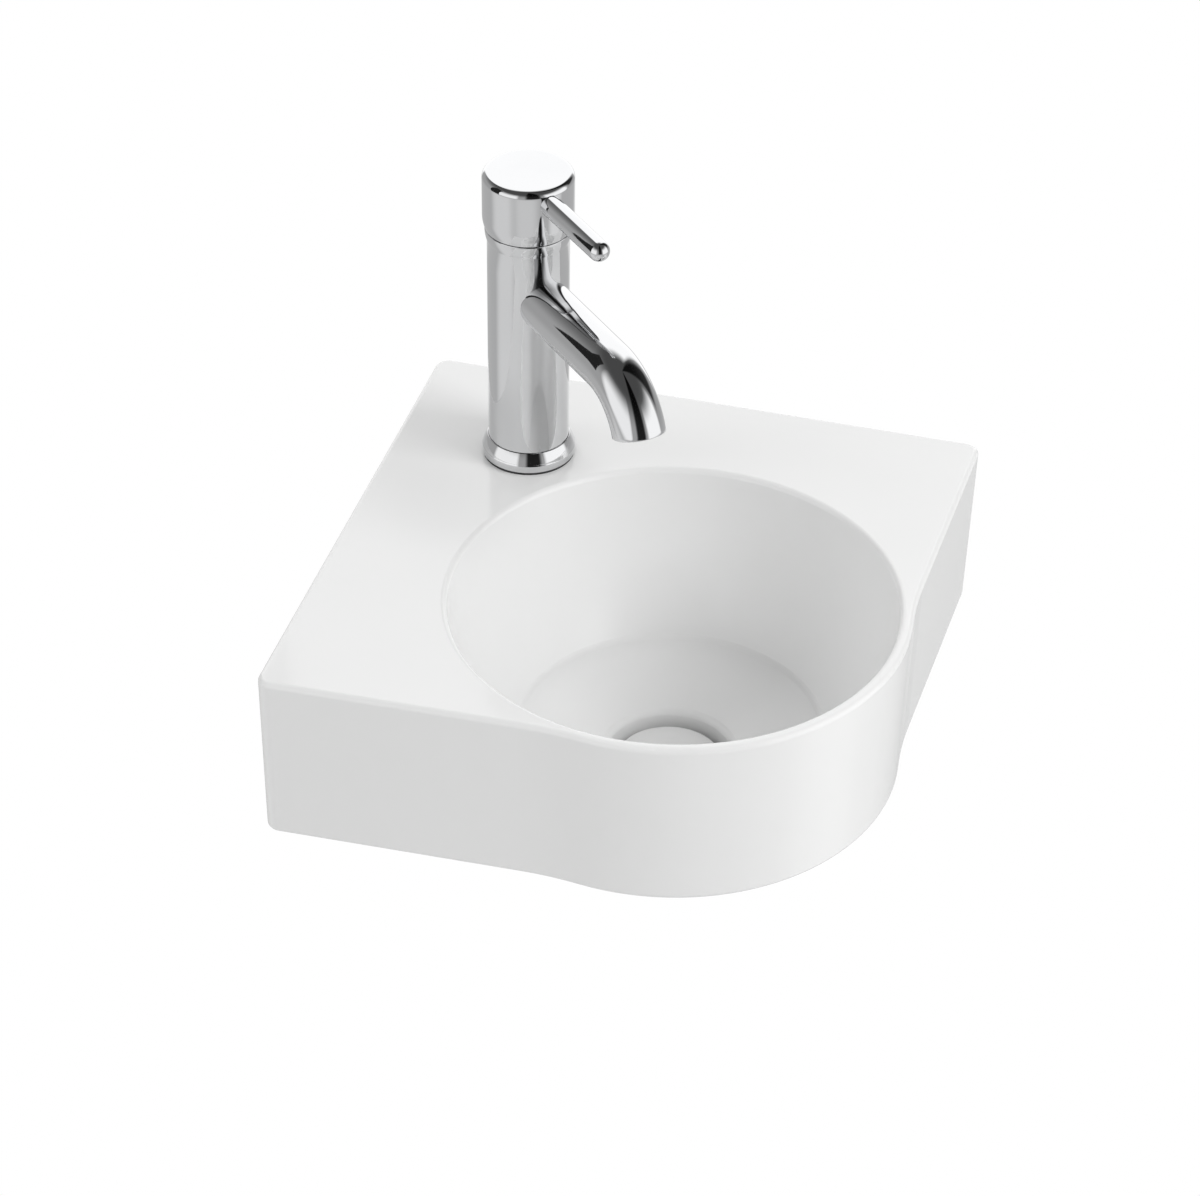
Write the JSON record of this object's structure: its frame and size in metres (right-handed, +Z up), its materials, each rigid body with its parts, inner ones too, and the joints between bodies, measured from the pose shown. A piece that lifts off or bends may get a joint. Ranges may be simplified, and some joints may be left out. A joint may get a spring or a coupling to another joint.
{
  "type": "corner wash basin with mixer tap",
  "caption": "White ceramic corner hand basin for two walls, with a round bowl, a chrome pin-lever mixer and a click waste.",
  "frame": {"origin": "the room corner at deck level: where the left wall face, the right wall face and the deck plane meet", "axes": "+X along the right-hand wall, -Y along the left-hand wall into the room, +Z up; the walls are the planes x = 0 and y = 0"},
  "size_m": [0.3196, 0.3196, 0.3685],
  "materials": {
    "white_glaze": "glossy white glaze",
    "chrome": "polished chrome on brass",
    "brass": "machined, unplated",
    "zinc_steel": "zinc plated",
    "white_nylon": "moulded nylon",
    "grey_plastic": "moulded acetal",
    "disc_ceramic": "lapped alumina",
    "black_rubber": "matt moulded rubber"
  },
  "bodies": {
    "basin_unit": {"basin": "white_glaze", "tap_body": "chrome", "base_ring": "chrome", "base_gasket": "black_rubber", "spout": "chrome", "aerator_housing": "chrome", "aerator_insert": "grey_plastic", "aerator_seal": "black_rubber", "port_seals": "black_rubber", "cartridge_base": "grey_plastic", "fixed_disc": "disc_ceramic", "cartridge_housing": "grey_plastic", "cartridge_nut": "brass", "cover_ring": "chrome", "clamp_stud": "zinc_steel", "clamp_rubber": "black_rubber", "clamp_plate": "zinc_steel", "clamp_nut": "brass", "waste_body": "chrome", "flange_seal": "black_rubber", "lower_seal": "black_rubber", "slip_washer": "white_nylon", "backnut": "brass", "click_housing": "chrome", "click_spring": "zinc_steel"},
    "swivel": {"stem_guide": "grey_plastic", "stem_pin": "zinc_steel"},
    "lever": {"cartridge_stem": "zinc_steel", "lever_cap": "chrome", "lever_rod": "chrome", "grub_screw": "zinc_steel", "index_button": "chrome"},
    "mixing_disc": {"moving_disc": "disc_ceramic", "disc_carrier": "grey_plastic"},
    "plug": {"plug_cap": "white_glaze", "plug_seal": "black_rubber", "plunger": "chrome"}
  },
  "joints": [
    {"name": "temperature_turn", "type": "hinge", "parent": "basin_unit", "child": "swivel", "pos_m": [0.0765, -0.0765, 0.1525], "axis": [0, 0, 1], "range_deg": [-45, 45]},
    {"name": "flow_tilt", "type": "hinge", "parent": "swivel", "child": "lever", "pos_m": [0.07438, -0.07438, 0.1525], "axis": [-0.7071, -0.7071, 0], "range_deg": [0, 14]},
    {"name": "disc_shift", "type": "slide", "parent": "swivel", "child": "mixing_disc", "axis": [0.7071, -0.7071, 0], "range_m": [0, 0.0032]},
    {"name": "plug_lift", "type": "slide", "parent": "basin_unit", "child": "plug", "axis": [0, 0, 1], "range_m": [0, 0.008], "deforming": ["click_spring"]}
  ],
  "couplings": [
    {"joint": "disc_shift", "follows": "flow_tilt", "m_per_rad": 0.012376}
  ]
}
